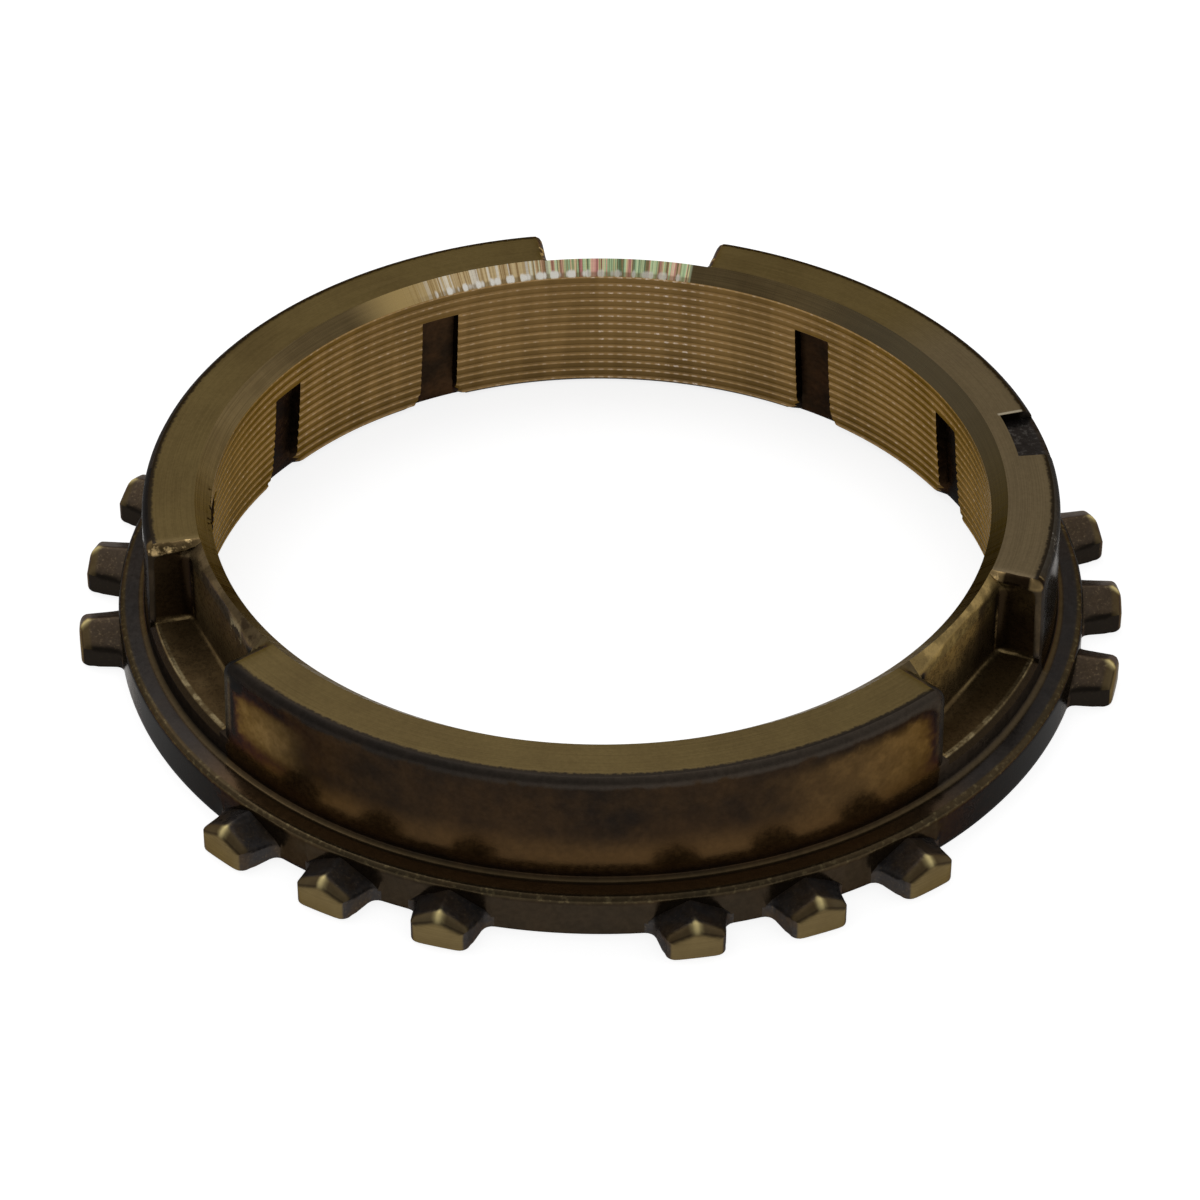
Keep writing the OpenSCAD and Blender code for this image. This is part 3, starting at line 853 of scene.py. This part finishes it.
tree, shader, place = start_material("relief_face")
lines = use_group(tree, turning_lines, Across=place["Height"], Along=place["Angle"], Pitch=0.08)["Lines"]
streaks = use_group(tree, turning_lines, Across=place["Angle"], Along=place["Height"], Pitch=0.52)["Lines"]
hues = use_group(tree, turning_lines, Across=place["Angle"], Along=place["Radius"], Pitch=0.8)["Lines"]
stain = use_group(tree, mottle, Size=5.0, Seed=7.0, Low=0.38, High=0.68)["Mask"]
nicks = use_group(tree, mottle, Size=0.35, Seed=14.0, Low=0.54, High=0.6)["Mask"]
angle = place["Angle"]
height = place["Height"]
back_part = between(tree, angle, 80.0, 118.0, 0.6)
back_part = calc(tree, "MAXIMUM", back_part, between(tree, angle, 100.0, 116.0, 10.0))
tinge_part = between(tree, angle, 79.0, 98.0, 8.0)
rainbow = node(tree, "ValToRGB", {"Fac": hues})
rainbow.color_ramp.elements[0].color = (0.8, 0.17, 0.22, 1)
rainbow.color_ramp.elements[1].color = (0.55, 0.75, 0.3, 1)
hues_between = ((0.3, (1.0, 0.5, 0.34, 1)), (0.5, (0.95, 0.82, 0.36, 1)), (0.72, (0.25, 0.68, 0.3, 1)))
for position, tint in hues_between:
    rainbow.color_ramp.elements.new(position).color = tint
colour = blend(tree, stain, (0.125, 0.088, 0.04, 1), (0.1, 0.069, 0.031, 1))
colour = shaded(tree, colour, lines, 0.86, 1.12)
# Painted light: lighter towards the left.
colour = shaded(tree, colour, span(tree, calc(tree, "ABSOLUTE", angle), 135.0, 165.0), 0.9, 1.3)
right = between(tree, angle, -25.0, 45.0, 20.0)
colour = coat(tree, colour, right, 0.75, (0.066, 0.053, 0.032, 1))
# Painted light: the coloured and pale reflections at the back, and the golden lit part to its left.
golden_light = product(tree, span(tree, angle, 108.0, 116.0), span(tree, angle, 136.0, 125.0))
colour = blend(tree, golden_light, colour, (0.44, 0.31, 0.125, 1))
pale = blend(tree, streaks, (0.36, 0.215, 0.083, 1), (0.78, 0.6, 0.32, 1))
pale = blend(tree, product(tree, span(tree, hues, 0.62, 0.8), 0.65), pale, (1.0, 0.95, 0.82, 1))
colour = blend(tree, back_part, colour, pale)
shine = blend(tree, calc(tree, "MULTIPLY", streaks, 0.32), rainbow.outputs[0], (1.0, 0.92, 0.75, 1))
shine = shaded(tree, shine, streaks, 0.3, 1.15)
colour = blend(tree, product(tree, back_part, tinge_part, 0.85), colour, shine)
low_edge = span(tree, height, 11.42, 11.26)
colour = blend(tree, product(tree, low_edge, back_part, 0.6), colour, (0.2, 0.125, 0.05, 1))
bead_glint = use_group(tree, glint_row, Angle=angle, Height=height)["Mask"]
colour = blend(tree, bead_glint, colour, (1.0, 0.96, 0.86, 1))
nick = product(tree, between(tree, angle, -177.0, -168.0, 1.5), span(tree, height, 11.4, 11.3), nicks)
colour = blend(tree, nick, colour, (0.012, 0.008, 0.005, 1))
rough = span(tree, streaks, 0.0, 1.0, 0.26, 0.36)
glint_metallic = span(tree, bead_glint, 0.0, 1.0, 1.0, 0.2)
feed(tree, shader, {"Metallic": glint_metallic, "Specular Tint": (0.4, 0.35, 0.27, 1)})
finish_material(tree, shader, colour, rough, lines, 0.003)

# Thread finish. The friction cone is bare brass, turned with a fine thread whose crests are lit. At the back
# it sparkles in columns.
tree, shader, place = start_material("cone_thread")
lines = use_group(tree, turning_lines, Across=place["Height"], Along=place["Angle"], Pitch=0.05)["Lines"]
reflected_bands = use_group(tree, turning_lines, Across=place["Angle"], Along=place["Height"], Pitch=6.0)["Lines"]
sparks = use_group(tree, mottle, Size=0.5, Seed=8.0, Low=0.5, High=0.66)["Mask"]
height = place["Height"]
angle = place["Angle"]
below = calc(tree, "SUBTRACT", thread_top, height)
turn_at = calc(tree, "FRACT", calc(tree, "DIVIDE", below, thread_pitch))
# Painted light on the thread's upward-facing flank.
lit_upper_flank = span(tree, turn_at, 0.74, 0.86)
colour = blend(tree, lit_upper_flank, (0.135, 0.081, 0.029, 1), (0.21, 0.128, 0.049, 1))
# Painted reflection: faint light and dark bands round the bore.
colour = shaded(tree, colour, reflected_bands, 0.9, 1.12)
colour = shaded(tree, colour, span(tree, height, 0.5, 5.0), 0.72, 1.0)
aback = calc(tree, "ABSOLUTE", calc(tree, "WRAP", calc(tree, "SUBTRACT", angle, 90.0), 180.0, -180.0))
colour = shaded(tree, colour, span(tree, aback, 45.0, 95.0), 1.0, 0.72)
colour = shaded(tree, colour, lines, 0.93, 1.07)
lit = calc(tree, "MAXIMUM", span(tree, turn_at, 0.14, 0.04), span(tree, turn_at, 0.9, 0.98))
colour = coat(tree, colour, lit, 0.5, (0.36, 0.225, 0.09, 1))
spark_part = between(tree, angle, 79.0, 92.0, 5.0)
spark_share = span(tree, spark_part, 0.0, 1.0, 0.2, 0.9)
column = ridge_line(tree, calc(tree, "FRACT", calc(tree, "DIVIDE", angle, 1.45)), 0.5, 0.4)
dots = product(tree, column, span(tree, sparks, 0.0, 1.0, 0.2, 1.0), lit, spark_share)
colour = blend(tree, dots, colour, (1.0, 0.82, 0.66, 1))
bead_glint = use_group(tree, glint_row, Angle=angle, Height=height)["Mask"]
colour = blend(tree, bead_glint, colour, (1.0, 0.93, 0.78, 1))
rough = span(tree, lines, 0.0, 1.0, 0.3, 0.4)
glint_metallic = span(tree, calc(tree, "MAXIMUM", dots, bead_glint), 0.0, 1.0, 1.0, 0.2)
feed(tree, shader, {"Metallic": glint_metallic, "Specular Tint": (0.55, 0.48, 0.37, 1)})
finish_material(tree, shader, colour, rough, lines, 0.003)

# Groove finish. The oil grooves are milled into the cone and painted dark brown. Those on the right are
# the darkest.
tree, shader, place = start_material("groove_skin")
stain = use_group(tree, mottle, Size=2.5, Seed=9.0, Low=0.35, High=0.65)["Mask"]
grain = use_group(tree, mottle, Size=0.4, Seed=10.0, Low=0.2, High=0.8)["Mask"]
colour = blend(tree, stain, (0.021, 0.0135, 0.0082, 1), (0.044, 0.0235, 0.0115, 1))
colour = shaded(tree, colour, grain, 0.75, 1.25)
colour = shaded(tree, colour, between(tree, place["Angle"], -60.0, 75.0, 10.0), 1.0, 0.72)
rough = span(tree, grain, 0.0, 1.0, 0.35, 0.5)
feed(tree, shader, {"Metallic": 0.8, "Specular IOR Level": 0.1, "Specular Tint": (0.15, 0.12, 0.09, 1)})
finish_material(tree, shader, colour, rough, grain, 0.008)

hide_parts("synchro_ring")
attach(ring, "root")

# Floor. A plain white studio floor that the ring rests on. Mirror rays see it as white as the camera does,
# and the light that it takes still leaves the ring's soft shadow on it.
floor_half = 3.0
floor_mesh = bpy.data.meshes.new("floor")
bm = bmesh.new()
bmesh.ops.create_grid(bm, x_segments=1, y_segments=1, size=floor_half)
bm.to_mesh(floor_mesh)
bm.free()
floor = bpy.data.objects.new("floor", floor_mesh)
bpy.context.scene.collection.objects.link(floor)

floor_paint = bpy.data.materials.new("floor_paint")
floor_paint.use_nodes = True
tree = floor_paint.node_tree
shader = tree.nodes["Principled BSDF"]
feed(tree, shader, {"Base Color": (0.4, 0.4, 0.4, 1), "Roughness": 0.9, "Specular IOR Level": 0.0})
white = 0.82
rays = node(tree, "LightPath").outputs
mirrored = calc(tree, "MAXIMUM", rays["Is Glossy Ray"], rays["Is Transmission Ray"])
seen = calc(tree, "MAXIMUM", rays["Is Camera Ray"], mirrored)
glow = calc(tree, "MULTIPLY", seen, white)
feed(tree, shader, {"Emission Color": (1, 1, 1, 1), "Emission Strength": glow})
floor.data.materials.append(floor_paint)

# Light. One wide soft panel hangs high behind the ring, and the room around is a soft gradient,
# pale behind the ring and dim on the camera's side.
world = bpy.data.worlds.new("room")
bpy.context.scene.world = world
world.use_nodes = True
tree = world.node_tree
dim, pale = 0.38, 0.8
backward = node(tree, "SeparateXYZ", {0: node(tree, "TexCoord").outputs["Generated"]}).outputs["Y"]
strength = span(tree, backward, -0.8, 0.4, dim, pale)
feed(tree, tree.nodes["Background"], {"Color": (1, 1, 1, 1), "Strength": strength})

lamp_data = bpy.data.lights.new("panel", "AREA")
lamp_data.shape = "DISK"
lamp_data.size = 0.5
lamp_data.energy = 0.6
lamp = bpy.data.objects.new("panel", lamp_data)
lamp.location = (-0.15, 0.25, 0.55)
lamp.rotation_euler = (-lamp.location).to_track_quat("-Z", "Y").to_euler()
bpy.context.scene.collection.objects.link(lamp)

# Camera. It looks down on the ring from the front at 38 degrees, a little from the right of the front
# segment's middle, through a long lens.
camera_at = Vector((16.79, -278.5, 219.65)) * mm
camera_aim = Vector((-0.077, 0.0, 1.286)) * mm
camera_roll = math.radians(0.124)
camera_data = bpy.data.cameras.new("camera")
camera_data.sensor_width = 36.0
camera_data.lens = 141.58
camera_data.clip_start = 0.01
camera = bpy.data.objects.new("camera", camera_data)
camera.location = camera_at
turn = (camera_aim - camera_at).to_track_quat("-Z", "Y") @ Quaternion((0, 0, 1), camera_roll)
camera.rotation_euler = turn.to_euler()
bpy.context.scene.collection.objects.link(camera)
bpy.context.scene.camera = camera

bpy.context.scene.view_settings.view_transform = "Standard"
